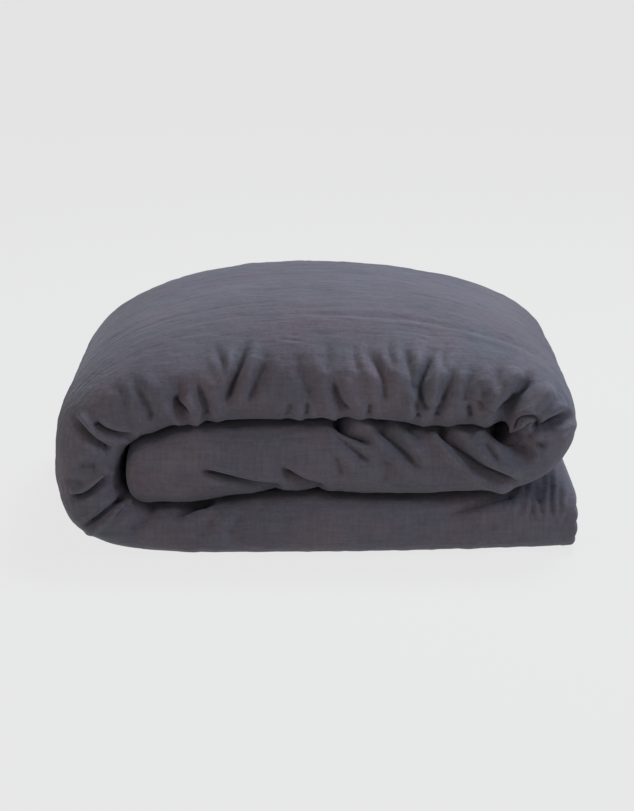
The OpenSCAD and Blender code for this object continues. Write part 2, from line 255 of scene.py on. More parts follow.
# The rounded front and back of a run: how far in the rounding reaches, and how square it is.
ROUND_OUTER = [(0, 58), (1, 60), (1.6, 75), (2.2, 120), (2.8, 215), (3.2, 248), (3.7, 248), (4.0, 200),
               (4.3, 90), (5, 55), (6, 50)]
SQUARE_OUTER = [(0, 2.7), (1, 2.6), (1.6, 2.6), (2.2, 2.6), (2.8, 2.4), (3.2, 2.25), (3.7, 2.25), (4.0, 2.4),
                (4.3, 2.6), (5, 2.7), (6, 2.5)]
ROUND_INNER = [(0, 52), (1, 55), (1.3, 62), (2.6, 62), (3, 60), (3.9, 56), (4.5, 52), (6, 48)]
SQUARE_INNER = [(0, 2.9), (1.3, 2.6), (2.6, 2.6), (3, 2.8), (4, 2.9), (5, 3.0), (6, 2.7)]
FLAT_SHARE = 8               # how soon a flat face reaches its full width
# How far the strip reaches to the front and to the back of the middle.
FRONT_REACH = [(0, 218), (0.25, 232), (0.6, 244), (2, 247), (3, 249), (3.5, 251), (4, 248), (4.5, 246),
               (5, 245), (6, 243)]
BACK_REACH = [(0, 240), (1, 246), (3, 248), (3.5, 249), (4, 246), (5, 240), (6, 236)]


def folded_sections(run, rows):
    """For each station, heights from -1 (inner face) to 1 (outer face) and depths y, in rows that
    start at the back, pass over the outer face to the front fold and return under the inner face."""
    angle = np.linspace(0, 2 * np.pi, 1441)
    c, s = np.cos(angle)[None], np.sin(angle)[None]
    square = np.where(s >= 0, along(SQUARE_OUTER, run)[:, None], along(SQUARE_INNER, run)[:, None])
    rounding = np.where(s >= 0, along(ROUND_OUTER, run)[:, None], along(ROUND_INNER, run)[:, None])
    reach = np.where(c > 0, along(BACK_REACH, run)[:, None], along(FRONT_REACH, run)[:, None])
    height = np.sign(s) * np.abs(s) ** (2 / square)
    flat = (reach - rounding) * np.clip(np.abs(c) * FLAT_SHARE, 0, 1)
    y = np.sign(c) * (flat + rounding * np.abs(c) ** (2 / square))
    nose = along(NOSE_HEIGHT, run)[:, None] * np.where(c > 0, 0.0, (y / reach) ** 2)
    height = height + nose * (1 - height ** 2)
    # Rows are close together on the front fold and the outer face, and wide on the inner face.
    dy = np.diff(y, axis=1)
    dh = np.diff(height, axis=1) * 45
    mid_y = (y[:, 1:] + y[:, :-1]) / 2
    hidden = smooth(-np.sin((angle[1:] + angle[:-1]) / 2))[None] * smooth(mid_y, -215, -185)
    front = smooth(-mid_y, 110, 190)
    weight = (1 + 1.3 * front) * (1 - 0.72 * hidden) * (1 - 0.25 * smooth(mid_y, 200, 240))
    travelled = np.concatenate([np.zeros((len(run), 1)), np.cumsum(np.hypot(dy, dh) * weight, 1)], 1)
    travelled /= travelled[:, -1:]
    at = np.linspace(0, 1, rows, endpoint=False)
    out_h = np.empty((len(run), rows))
    out_y = np.empty((len(run), rows))
    for i in range(len(run)):
        out_h[i] = np.interp(at, travelled[i], height[i])
        out_y[i] = np.interp(at, travelled[i], y[i])
    return out_h, out_y


def grid_normals(points):
    """Outward normals of a grid whose rows close on themselves."""
    along_s = np.gradient(points, axis=0)
    around = np.roll(points, -1, 1) - np.roll(points, 1, 1)
    normal = np.cross(around, along_s)
    return normal / np.maximum(np.linalg.norm(normal, axis=2, keepdims=True), 1e-9)


# ---------------------------------------------------------------------------------------------
# The camera looks along +Y, a little from above. Folds are placed as they look from there: u to
# the right of the bundle's middle, w up from the front of its base.
# ---------------------------------------------------------------------------------------------
ELEVATION = math.radians(15)
CAMERA_DISTANCE = 2700
BASE_LINE = 12               # the front's lowest visible cloth shows this far above its own foot
LOOK_AT = np.array([0.0, -HALF, 0.0])


def front_view(points):
    """Where points appear, as (u, w) in the plane of the bundle's front."""
    forward = np.array([0, math.cos(ELEVATION), -math.sin(ELEVATION)])
    up = np.array([0, math.sin(ELEVATION), math.cos(ELEVATION)])
    d = points - (LOOK_AT - forward * CAMERA_DISTANCE)
    scale = CAMERA_DISTANCE / (d @ forward)
    return d[..., 0] * scale, (d @ up) * scale - BASE_LINE


FOLD_STRENGTH = 1.25         # every fold is this much deeper than its listed depth


class Fold:
    """A fold in the cloth: a valley along a line of points (u, w), with a ridge beside it."""

    def __init__(self, line, width, depth, ridge=0.35, fade=(0.25, 0.25), side=0):
        self.line, self.width, self.depth = line, width, depth
        self.ridge, self.fade, self.side = ridge, fade, side


# The front face of each run. Every fold is (points, width, depth, ridge, fade at each end, side).
CROWN_FOLDS = [
    Fold([(-282, 169), (-268, 159), (-252, 153), (-236, 150)], 4, 10, 0.3, (0.1, 0.0)),
    Fold([(-182, 204), (-176, 190), (-164, 176)], 6, 13, 0.4, (0.4, 0.0)),
    Fold([(-12, 196), (-12, 186), (-13, 177)], 5, 5, 0.3, (0.5, 0.0)),
    Fold([(69, 196), (67, 186), (66, 177)], 5, 5, 0.3, (0.5, 0.0)),
    Fold([(124, 198), (126, 188), (128, 176)], 5, 6, 0.3, (0.5, 0.0)),
    Fold([(192, 196), (193, 186), (195, 175)], 5, 6, 0.3, (0.5, 0.0)),
    Fold([(-176, 230), (-175, 212), (-174, 192)], 12, 5, 0.3, (0.5, 0.2)),
    Fold([(-236, 226), (-222, 205), (-212, 185), (-206, 166)], 8, 6, 0.5, (0.4, 0.2)),
    Fold([(-250, 214), (-244, 200), (-240, 188)], 7, 2.5, 0.4),
    Fold([(-156, 228), (-147, 206), (-141, 190), (-139, 174)], 7, 8, 0.5, (0.4, 0.0)),
    Fold([(-136, 276), (-124, 256), (-118, 240), (-122, 222)], 5, 3, 0.5, (0.5, 0.3)),
    Fold([(-84, 290), (-92, 262), (-101, 232), (-110, 204), (-118, 188)], 7, 10, 0.5, (0.5, 0.35)),
    Fold([(-60, 272), (-68, 244), (-80, 212), (-92, 186)], 8, 5, 0.5, (0.5, 0.3)),
    Fold([(-34, 268), (-24, 238), (-12, 212), (-4, 192)], 10, 3.5, 0.4, (0.5, 0.3)),
    Fold([(-32, 196), (-34, 184), (-36, 176)], 7, 4, 0.3, (0.4, 0.0)),
    Fold([(15, 280), (14, 254), (12, 228)], 6, 2.2, 0.4, (0.6, 0.3)),
    Fold([(18, 228), (23, 212), (29, 196), (38, 180)], 8, 9, 0.4, (0.4, 0.0)),
    Fold([(46, 282), (48, 254), (54, 228)], 5, 2.6, 0.5, (0.6, 0.3)),
    Fold([(60, 288), (68, 256), (82, 230), (86, 208), (88, 190)], 7, 4.5, 0.5, (0.5, 0.2)),
    Fold([(90, 286), (93, 256), (98, 232)], 5, 3.5, 0.5, (0.6, 0.3)),
    Fold([(112, 286), (115, 254), (120, 226), (122, 204)], 7, 5.5, 0.5, (0.5, 0.2)),
    Fold([(154, 270), (141, 244), (133, 218), (133, 198), (140, 180)], 7, 11, 0.5, (0.4, 0.1)),
    Fold([(166, 278), (161, 252), (160, 230)], 5, 3.5, 0.4, (0.6, 0.3)),
    Fold([(190, 262), (174, 232), (164, 206), (156, 190), (152, 174)], 8, 7.0, 0.5, (0.5, 0.0)),
    Fold([(210, 256), (197, 230), (189, 208), (188, 190)], 8, 5, 0.5, (0.5, 0.2)),
    Fold([(214, 214), (208, 198), (206, 184)], 8, 2.5, 0.4),
    Fold([(236, 252), (231, 226), (230, 204)], 7, 4.5, 0.5, (0.5, 0.3)),
    Fold([(292, 236), (286, 218), (276, 202), (266, 190)], 7, 5, 0.45, (0.4, 0.3)),
    Fold([(276, 236), (268, 220), (257, 205), (245, 191), (233, 176)], 10, 19, 0.6, (0.3, 0.0)),
]
WEDGE_FOLDS = [
    Fold([(268, 162), (284, 162), (300, 168), (314, 175), (324, 180)], 6.5, 19, 0.2, (0.15, 0.25)),
    Fold([(280, 150), (294, 152), (308, 158)], 10, 6, 0.1, (0.3, 0.4)),
    Fold([(251, 165), (255, 175), (264, 180), (274, 178), (279, 170), (273, 163)],
         3.0, 6.5, 0.3, (0.1, 0.1)),
]
CREST_FOLDS = [
    Fold([(-52, 274), (-36, 273), (-14, 271)], 1.8, 1.0, 0.5),
    Fold([(-60, 303), (0, 302), (60, 300), (110, 296), (150, 290), (205, 278), (262, 258), (305, 226),
          (322, 200)], 2.6, 1.3, 0.5, (0.2, 0.1)),
]
TURN_FOLDS = [
    Fold([(-310, 178), (-300, 163), (-288, 150), (-272, 138), (-258, 130)], 5, 11, 0.6, (0.3, 0.1), 1),
    Fold([(-314, 71), (-298, 72), (-281, 82), (-266, 95)], 4.2, 11, 0.5, (0.12, 0.0), 1),
    Fold([(-300, 31), (-290, 35), (-277, 44), (-261, 58), (-244, 72)], 4.5, 12, 0.4, (0.35, 0.0), -1),
    Fold([(-310, 110), (-292, 108), (-274, 107)], 11, 6, 0.3, (0.4, 0.2), 1),
    Fold([(-324, 92), (-306, 91), (-294, 84)], 5, 2.0, 0.4),
    Fold([(-262, 44), (-248, 54), (-238, 64)], 6, 4, 0.4, (0.3, 0.2)),
    Fold([(-284, 160), (-266, 148), (-254, 141)], 6, 4, 0.4),
]
BOTTOM_FOLDS = [
    Fold([(-240, 22), (-228, 36), (-212, 52), (-200, 66)], 9, 5, 0.4),
    Fold([(-184, 44), (-168, 54), (-150, 61), (-134, 66)], 6, 9, 0.3, (0.4, 0.0)),
    Fold([(-148, 16), (-142, 32), (-130, 48)], 9, 2.5, 0.4),
    Fold([(-112, 18), (-104, 36), (-92, 56)], 9, 3.0, 0.4),
    Fold([(150, 44), (185, 54), (218, 66), (246, 76)], 9, 7, 0.2, (0.4, 0.0)),
    Fold([(40, 20), (48, 40), (56, 60)], 12, 1.6, 0.4),
    Fold([(120, 20), (128, 40), (140, 56)], 10, 2.0, 0.4),
]
# Fine gathers at the loose end stand up as thin ridges, so their depth is below zero.
GATHERS = [
    Fold([(206, 24), (209, 42), (211, 60)], 2.6, -1.2, 0.3),
    Fold([(238, 46), (242, 60), (246, 74)], 2.8, -1.4, 0.3),
    Fold([(247, 38), (250, 58), (254, 80)], 2.6, -1.8, 0.4),
    Fold([(262, 40), (267, 58), (269, 88)], 2.8, -2.4, 0.5),
    Fold([(283, 38), (277, 62), (269, 88)], 2.6, -2.4, 0.5),
    Fold([(292, 40), (291, 70), (293, 102)], 2.8, -2.2, 0.5),
    Fold([(306, 34), (302, 70), (300, 108)], 2.8, -2.6, 0.5),
    Fold([(306, 28), (313, 56), (315, 86)], 2.6, -2.2, 0.5),
    Fold([(258, 84), (274, 74), (286, 60)], 5, 3.0, 0.4),
    Fold([(230, 24), (229, 38), (226, 52)], 3.0, -1.2, 0.3),
]
INNER_FOLDS = [
    Fold([(-150, 107), (-126, 99), (-100, 92), (-72, 86), (-50, 84)], 5, 12, 0.35, (0.2, 0.0), 1),
    Fold([(-48, 112), (-32, 99), (-15, 89), (4, 84)], 5.5, 11, 0.35, (0.3, 0.0), 1),
    Fold([(22, 172), (38, 158), (54, 148), (74, 138)], 7, 15, 0.5, (0.0, 0.3), 1),
    Fold([(18, 160), (34, 143), (52, 127), (70, 112)], 7, 6, 0.4),
    Fold([(22, 128), (28, 112), (33, 96)], 8, 3, 0.4),
    Fold([(78, 164), (92, 148), (108, 132), (122, 116), (132, 104)], 6.5, 8, 0.5, (0.1, 0.4)),
    Fold([(92, 122), (90, 104), (86, 86)], 9, 3, 0.4),
    Fold([(112, 164), (122, 154), (134, 146)], 8, 3, 0.4),
    Fold([(150, 164), (166, 147), (184, 129), (206, 111), (230, 99), (258, 89)], 6.5, 11, 0.55, (0.1, 0.15)),
    Fold([(212, 144), (220, 130), (234, 114)], 4.5, 4, 0.5),
    Fold([(222, 170), (238, 152), (256, 134), (278, 121)], 13, 18, 0.3, (0.0, 0.25)),
    Fold([(264, 158), (276, 144), (292, 130)], 8, 6, 0.5),
    Fold([(-232, 126), (-222, 122), (-210, 120)], 6, 2.0, 0.4),
    Fold([(-190, 90), (-168, 84), (-146, 80)], 7, 2.2, 0.4),
]


def fold_heights(folds, u, w, where):
    """How far the folds push the cloth in (negative) or out at view points (u, w)."""
    total = np.zeros(u.shape)
    for fold in folds:
        curve = curve_through(fold.line, 28)
        reach = 4.5 * fold.width
        low, high = curve.min(0) - reach, curve.max(0) + reach
        near = where & (u > low[0]) & (u < high[0]) & (w > low[1]) & (w < high[1])
        if not near.any():
            continue
        p = np.stack([u[near], w[near]], 1)
        best = np.full(len(p), 1e9)
        place = np.zeros(len(p))
        side = np.ones(len(p))
        for k in range(len(curve) - 1):
            step = curve[k + 1] - curve[k]
            rel = p - curve[k]
            f = np.clip(rel @ step / (step @ step), 0, 1)
            gap = rel - f[:, None] * step
            distance = np.hypot(gap[:, 0], gap[:, 1])
            closer = distance < best
            best = np.where(closer, distance, best)
            place = np.where(closer, (k + f) / (len(curve) - 1), place)
            side = np.where(closer, np.sign(step[0] * rel[:, 1] - step[1] * rel[:, 0]), side)
        fade_in = smooth(place, -0.001, max(fold.fade[0], 0.001))
        fade_out = smooth(1 - place, -0.001, max(fold.fade[1], 0.001))
        strength = fade_in * fade_out
        ridge = fold.ridge * np.where(side * fold.side < 0, 0.2, 1.0)
        valley = 0.65 * np.exp(-(best / fold.width) ** 2) + 0.35 * np.exp(-(2 * best / fold.width) ** 2)
        shoulder = bell(best, 2.1 * fold.width, 1.1 * fold.width)
        total[near] += FOLD_STRENGTH * fold.depth * strength * (ridge * shoulder - valley)
    return total


# ---------------------------------------------------------------------------------------------
# The whole roll as one grid of points, then its folds and wrinkles
# ---------------------------------------------------------------------------------------------
SPACING = 3.0                # between stations along the strip
ROWS = 300                   # points round each station
FRONT_START, FRONT_FULL = 80, 170   # front folds fade in between these depths in front of the middle


def roll_grid():
    outer, inner, run = strip_path(SPACING)
    height, y = folded_sections(run, ROWS)
    middle = (outer + inner) / 2
    reach = (outer - inner) / 2
    points = np.empty((len(run), ROWS, 3))
    points[..., 0] = middle[:, None, 0] + reach[:, None, 0] * height
    points[..., 1] = y
    points[..., 2] = middle[:, None, 1] + reach[:, None, 1] * height
    return points, height, run


def face_of(height, r):
    """1 on the outer face of the left turn, the crown and the right turn, and 0 elsewhere."""
    return smooth(height, 0.35, 0.75) * smooth(r, 1.2, 2.0)


def wrinkle_heights(points, height, run):
    """Every fold and wrinkle, as a distance along the surface's normal, in mm."""
    r = np.broadcast_to(run[:, None], height.shape)
    x, y, z = points[..., 0], points[..., 1], points[..., 2]
    u, w = front_view(points)
    front = y < -FRONT_START
    frontal = smooth(-y, FRONT_START, FRONT_FULL)
    total = np.zeros(height.shape)

    crown = (r > 2.25) & (r < 4.35)
    normal = grid_normals(points)
    facing = np.where(normal[..., 2] > 0, smooth(-normal[..., 1], 0.2, 0.75), 1.0)
    total += fold_heights(CROWN_FOLDS, u, w, front & crown & (height < 0.9)) * facing * frontal
    total += fold_heights(WEDGE_FOLDS, u, w, front & (r > 3.5) & (r < 5.2) & (x > 150)) * frontal
    total += fold_heights(CREST_FOLDS, u, w, crown & (height > 0.2))
    total += fold_heights(TURN_FOLDS, u, w, front & (r > 0.4) & (r < 3.2)) * frontal
    total += fold_heights(BOTTOM_FOLDS, u, w, front & (r < 1.4)) * frontal
    total += fold_heights(GATHERS, u, w, (r < 0.9) & (y < -60))
    total += fold_heights(INNER_FOLDS, u, w, front & (r > 4.35)) * frontal

    # The back shows the lobe of the first fold and, below it, the duvet's two side edges.
    back = smooth(y, 150, 225)
    wander = 0.05 * noise(points, 120, 31)
    inside_ends = smooth(r, 0.1, 0.35) * smooth(6 - r, 0.1, 0.35)
    total -= (2 + 11 * inside_ends) * back * bell(height, -0.02 + wander, 0.075)
    total -= 7 * back * bell(height, -0.50 + wander, 0.06)
    total -= 3.5 * back * smooth(noise(points, (26, 60, 26), 32), 0.1, 0.8)

    # Soft lumps of filling, larger on the crown.
    loft = along([(0, 0.5), (1, 0.8), (2, 1.0), (3, 1.3), (4, 1.2), (5, 0.8), (6, 0.6)], r)
    free = 1 - 0.8 * smooth(-height, 0.6, 0.95) * (y > -200)
    on_floor = smooth(z, 2, 24)
    calm = free * on_floor * (1 - 0.6 * face_of(height, r))
    total += 3.6 * loft * calm * noise(points, 95, 1)
    total += 1.8 * loft * calm * noise(points, 42, 2)

    # Long pressed wrinkles that run along the strip on the outer faces.
    ring = np.stack([np.cumsum(np.full(height.shape, SPACING), 0), y, 0 * y], -1)
    face = face_of(height, r)
    total -= 0.8 * face * creases(ring, (190, 9, 50), 11, 0.10)
    total -= 0.5 * face * creases(ring, (120, 5, 50), 12, 0.14)
    total += 0.5 * face * noise(ring, (140, 14, 50), 13)

    # Crumples of washed cloth all over.
    total += 0.55 * noise(points, 17, 21) + 0.28 * noise(points, 8, 22)
    total -= 0.5 * creases(points, (26, 26, 26), 23, 0.10)
    return total


def shaped_roll():
    points, height, run = roll_grid()
    x, y, z = points[..., 0], points[..., 1], points[..., 2]
    lift = 6 * smooth(-x, 150, 270) * smooth(-y, 150, 235) * smooth(60 - z, 0, 50)
    points[..., 2] = z + lift
    push = wrinkle_heights(points, height, run)
    creased = points + grid_normals(points) * push[..., None]
    creased[..., 2] = np.maximum(creased[..., 2], 0.4)
    return points, creased, height, run


# ---------------------------------------------------------------------------------------------
# Meshes
# ---------------------------------------------------------------------------------------------
def mesh_object(name, vertices, quads, material, cloth=None):
    mesh = bpy.data.meshes.new(name)
    mesh.vertices.add(len(vertices))
    mesh.vertices.foreach_set("co", (np.asarray(vertices) * MM).ravel())
    mesh.loops.add(quads.size)
    mesh.loops.foreach_set("vertex_index", quads.ravel().astype(np.int32))
    mesh.polygons.add(len(quads))
    mesh.polygons.foreach_set("loop_start", np.arange(0, quads.size, 4, dtype=np.int32))
    mesh.polygons.foreach_set("loop_total", np.full(len(quads), 4, dtype=np.int32))
    mesh.update(calc_edges=True)
    mesh.validate()
    mesh.shade_smooth()
    if cloth is not None:
        layer = mesh.uv_layers.new(name="Cloth")
        layer.data.foreach_set("uv", (cloth[quads.ravel()] * MM).ravel())
    mesh.materials.append(material)
    obj = bpy.data.objects.new(name, mesh)
    bpy.context.scene.collection.objects.link(obj)
    return obj


def end_rings(points, inward, count, depth, blunt):
    """Rings that round a cut end off and close it along a line, from the end ring inwards."""
    ring = points[0 if inward > 0 else -1]
    before = points[1 if inward > 0 else -2]
    out = ring.mean(0) - before.mean(0)
    out /= np.linalg.norm(out)
    middle = (ring[:, [0, 2]].max(0) + ring[:, [0, 2]].min(0)) / 2
    half = np.abs(ring[:, 2] - middle[1]).max()
    across = (ring[:, 2] - middle[1]) / half
    rings = []
    for k in range(1, count + 1):
        a = math.radians(90 * k / count)
        shrink = 1 - math.cos(a) ** (2 / blunt)
        push = depth * math.sin(a) ** (2 / blunt)
        p = ring.copy()
        p[:, 2] = middle[1] + (p[:, 2] - middle[1]) * (1 - shrink)
        p[:, 0] = middle[0] + (p[:, 0] - middle[0]) * (1 - shrink)
        y_half = np.abs(ring[:, 1]).max()
        p[:, 1] = ring[:, 1] * (1 - shrink * half * 0.8 / y_half)
        leaf = np.abs(np.sin(2 * np.pi * across * (1 - shrink))) ** 0.5 if inward > 0 else 1.0
        rings.append(p + out * np.reshape(push * (0.6 + 0.4 * leaf), (-1, 1)))
    return np.array(rings)


def grid_quads(columns, rows):
    i = np.arange(columns - 1)[:, None]
    j = np.arange(rows)[None]
    k = (j + 1) % rows
    a, b = i * rows + j, i * rows + k
    return np.stack([a, b, b + rows, a + rows], -1).reshape(-1, 4)


def cloth_coordinates(points):
    step = np.linalg.norm(np.diff(points, axis=0), axis=2).mean(1)
    s = np.concatenate([[0], np.cumsum(step)])
    around = np.linalg.norm(np.diff(points[len(points) // 2], axis=0), axis=1)
    t = np.concatenate([[0], np.cumsum(around)])
    s, t = np.broadcast_arrays(s[:, None], t[None])
    return np.stack([s, t], -1).reshape(-1, 2)


# ---------------------------------------------------------------------------------------------
# Materials
# ---------------------------------------------------------------------------------------------
def new_material(name, roughness, sheen=0.0, sheen_roughness=0.5):
    material = bpy.data.materials.new(name)
    material.use_nodes = True
    nodes, links = material.node_tree.nodes, material.node_tree.links
    shader = nodes["Principled BSDF"]
    shader.inputs["Roughness"].default_value = roughness
    shader.inputs["Sheen Weight"].default_value = sheen
    shader.inputs["Sheen Roughness"].default_value = sheen_roughness
    shader.inputs["Specular IOR Level"].default_value = 0.18
    return material, nodes, links, shader


def cloth_material(name, dark, light, thread, bump, sheen, tint=(0.80, 0.86, 1.0), crumple=0.003):
    """Plain weave: crossed threads with slubs, a mottled dye and small pressed creases."""
    material, nodes, links, shader = new_material(name, 0.9, sheen)
    shader.inputs["Sheen Tint"].default_value = (*tint, 1)
    place = nodes.new("ShaderNodeTexCoord")

    def texture(scale, stretch, detail=3.0, rough=0.6):
        mapping = nodes.new("ShaderNodeMapping")
        mapping.inputs["Scale"].default_value = stretch
        links.new(place.outputs["Object"], mapping.inputs["Vector"])
        noise_node = nodes.new("ShaderNodeTexNoise")
        noise_node.inputs["Scale"].default_value = scale
        noise_node.inputs["Detail"].default_value = detail
        noise_node.inputs["Roughness"].default_value = rough
        links.new(mapping.outputs["Vector"], noise_node.inputs["Vector"])
        return noise_node.outputs["Fac"]

    def blend(kind, a, b, value=None):
        node = nodes.new("ShaderNodeMath")
        node.operation = kind
        links.new(a, node.inputs[0])
        if value is None:
            links.new(b, node.inputs[1])
        else:
            node.inputs[1].default_value = value
        return node.outputs[0]

    def mapped(value, source, target):
        node = nodes.new("ShaderNodeMapRange")
        links.new(value, node.inputs["Value"])
        node.inputs["From Min"].default_value, node.inputs["From Max"].default_value = source
        node.inputs["To Min"].default_value, node.inputs["To Max"].default_value = target
        return node.outputs["Result"]

    slub_x = texture(1 / thread, (0.06, 1, 1))
    slub_z = texture(1 / thread, (1, 1, 0.07))
    slub_y = texture(1 / thread, (1, 0.06, 1))
    grain = texture(1.6 / thread, (1, 1, 1), 2.0)
    dye = texture(9, (1, 1, 1), 4.0)
    threads = blend("ADD", blend("ADD", slub_x, slub_z), blend("ADD", slub_y, grain))
    level = blend("MULTIPLY", threads, None, 0.25)
    slubs = blend("ADD", texture(0.3 / thread, (0.10, 1, 1)), texture(0.3 / thread, (1, 1, 0.10)))
    yarn = blend("ADD", blend("MULTIPLY", level, None, 0.40), blend("MULTIPLY", slubs, None, 0.20))
    mottled = blend("ADD", yarn, blend("MULTIPLY", dye, None, 0.25))
    ramp = nodes.new("ShaderNodeValToRGB")
    ramp.color_ramp.elements[0].position = 0.40
    ramp.color_ramp.elements[0].color = (*dark, 1)
    ramp.color_ramp.elements[1].position = 0.64
    ramp.color_ramp.elements[1].color = (*light, 1)
    links.new(mottled, ramp.inputs["Fac"])
    hue = nodes.new("ShaderNodeHueSaturation")
    links.new(ramp.outputs["Color"], hue.inputs["Color"])
    links.new(blend("ADD", blend("MULTIPLY", texture(14, (1, 1, 1), 2.0), None, 0.38), None, 0.31),
              hue.inputs["Hue"])
    # Painted shade and painted highlight: the colour is darkened in concave creases and lightened along
    # convex ridges, by the surface's own curvature (Pointiness).
    curved = nodes.new("ShaderNodeNewGeometry").outputs["Pointiness"]
    painted_crease_shade = mapped(curved, (0.40, 0.49), (0.40, 1.0))
    painted_ridge_highlight = mapped(curved, (0.505, 0.58), (1.0, 1.15))
    # Painted crease shade times painted ridge highlight sets the colour's value.
    links.new(blend("MULTIPLY", painted_crease_shade, painted_ridge_highlight), hue.inputs["Value"])
    links.new(hue.outputs["Color"], shader.inputs["Base Color"])
    creased = nodes.new("ShaderNodeBump")
    creased.inputs["Strength"].default_value = bump
    creased.inputs["Distance"].default_value = crumple
    rumple = blend("ADD", texture(70, (0.16, 1, 1), 3.0), texture(38, (1, 1, 0.5), 4.0))
    links.new(rumple, creased.inputs["Height"])
    relief = nodes.new("ShaderNodeBump")
    relief.inputs["Strength"].default_value = bump
    relief.inputs["Distance"].default_value = thread
    links.new(level, relief.inputs["Height"])
    links.new(creased.outputs["Normal"], relief.inputs["Normal"])
    links.new(relief.outputs["Normal"], shader.inputs["Normal"])
    return material


COVER = cloth_material("charcoal_linen", (0.053, 0.047, 0.058), (0.098, 0.089, 0.107),
                       0.0014, 0.6, 0.12)
TICKING = cloth_material("white_ticking", (0.70, 0.69, 0.65), (0.86, 0.85, 0.81),
                         0.0006, 0.3, 0.1, (1, 1, 1))
WADDING = cloth_material("wadding_fibre", (0.78, 0.77, 0.73), (0.95, 0.94, 0.90), 0.004, 0.9, 0.4, (1, 1, 1))
SEAM = cloth_material("seam_cloth", (0.045, 0.042, 0.050), (0.085, 0.080, 0.092), 0.0009, 0.6, 0.1)
TAPE = cloth_material("woven_tape", (0.62, 0.61, 0.57), (0.80, 0.79, 0.75), 0.0008, 0.5, 0.1, (1, 1, 1))


def button_material():
    material, nodes, links, shader = new_material("marbled_button", 0.35)
    noise_node = nodes.new("ShaderNodeTexNoise")
    noise_node.inputs["Scale"].default_value = 420
    noise_node.inputs["Distortion"].default_value = 1.5
    ramp = nodes.new("ShaderNodeValToRGB")
    ramp.color_ramp.elements[0].color = (0.02, 0.019, 0.022, 1)
    ramp.color_ramp.elements[1].color = (0.07, 0.066, 0.075, 1)
    links.new(noise_node.outputs["Fac"], ramp.inputs["Fac"])
    links.new(ramp.outputs["Color"], shader.inputs["Base Color"])
    return material


BUTTON = button_material()


# ---------------------------------------------------------------------------------------------
# The pieces of the cover: one surface, cut where the cloth follows the upper body altogether
# ---------------------------------------------------------------------------------------------
FIRST_CUT, SECOND_CUT = 2.55, 4.62   # run numbers where the pieces meet
OVERLAP = 4                  # stations that a piece has beyond its cut
TUCK = 0.25                  # how far each of them dips further under the next piece
CHANNEL = 120                # between the insert's lines of quilting


def weld_rings(grid, start, end):
    """A grid of rings with a rounded end of (length, bluntness) at its start, its finish or both."""
    parts = [grid]
    if start:
        parts.insert(0, end_rings(grid, 1, 16, *start)[::-1])
    if end:
        parts.append(end_rings(grid, -1, 16, *end))
    return np.concatenate(parts)


def tucked(points, first, last, overlap):
    """Stations first to last, with a few more at each cut end that dip under the next piece."""
    low, high = max(first - overlap, 0), min(last + overlap, len(points))
    part = points[low:high].copy()
    station = np.arange(low, high)
    beyond = np.maximum(first - station, station - last + 1) * (station < first)
    beyond = beyond + (station - last + 1) * (station >= last)
    return part - grid_normals(part) * (TUCK * beyond)[:, None, None]


def roll_pieces(points, run, overlap, start, end):
    """The roll cut into the run that bends with the joint, the crown, and the inner run."""
    first = int(np.argmax(run > FIRST_CUT))
    second = int(np.argmax(run > SECOND_CUT))
    return {
        "bottom_run": weld_rings(tucked(points, 0, first + 1, overlap), start, None),
        "crown": tucked(points, first, second + 1, overlap),
        "inner_run": weld_rings(tucked(points, second, len(points), overlap), None, end),
    }


def follow(piece, bends):
    """Keep the piece where it stands, its transform baked into its mesh, or ride on the upper body."""
    if bends:
        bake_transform(piece)
    else:
        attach(piece, "upper")


def grid_object(name, grid, material, cloth=True):
    return mesh_object(name, grid.reshape(-1, 3), grid_quads(len(grid), grid.shape[1]), material,
                       cloth_coordinates(grid) if cloth else None)


def build_cover(points, run):
    for name, grid in roll_pieces(points, run, OVERLAP, (10, 3.2), (42, 3.0)).items():
        piece = grid_object("cover_" + name, grid, COVER)
        follow(piece, name == "bottom_run")
        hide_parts("cover_lower" if name == "bottom_run" else "cover_upper")


# ---------------------------------------------------------------------------------------------
# The insert inside: its ticking, and its filling in quilted layers
# ---------------------------------------------------------------------------------------------
TICKING_INSET = 9            # the ticking's depth under the plain surface of the cover
STITCH_PULL = 3              # and how much more it is at a line of quilting,
FRONT_PULL, BACK_PULL = 25, 19   # behind the front folds, and behind the grooves at the back
BINDING_INSET = 37


def softened(points, rounds):
    """Each point moved to the mean of its neighbours, several times over."""
    for _ in range(rounds):
        around = (np.roll(points, 1, 1) + np.roll(points, -1, 1)) / 2
        ends = np.concatenate([points[:1], points, points[-1:]])
        points = (points * 2 + around + (ends[:-2] + ends[2:]) / 2) / 4
    return points


def build_ticking(points, run):
    """The insert's own bag, a little inside the cover, pulled in along the lines of stitching."""
    keep = slice(6, -6, 3)
    grid = softened(points[keep, ::3], 5)
    step = np.arange(len(grid))[:, None] * SPACING * 3
    stitched = np.abs(np.cos(np.pi * step / CHANNEL)) ** 16
    creased = smooth(-grid[..., 1], 90, 170)
    grooved = smooth(grid[..., 1], 110, 190)
    inset = TICKING_INSET + STITCH_PULL * stitched + FRONT_PULL * creased + BACK_PULL * grooved
    grid = grid - grid_normals(grid) * inset[..., None]
    for name, part in roll_pieces(grid, run[keep], 2, (8, 2.6), (24, 2.3)).items():
        piece = grid_object("ticking_" + name, part, TICKING)
        follow(piece, name == "bottom_run")
        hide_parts("ticking_lower" if name == "bottom_run" else "ticking_upper")


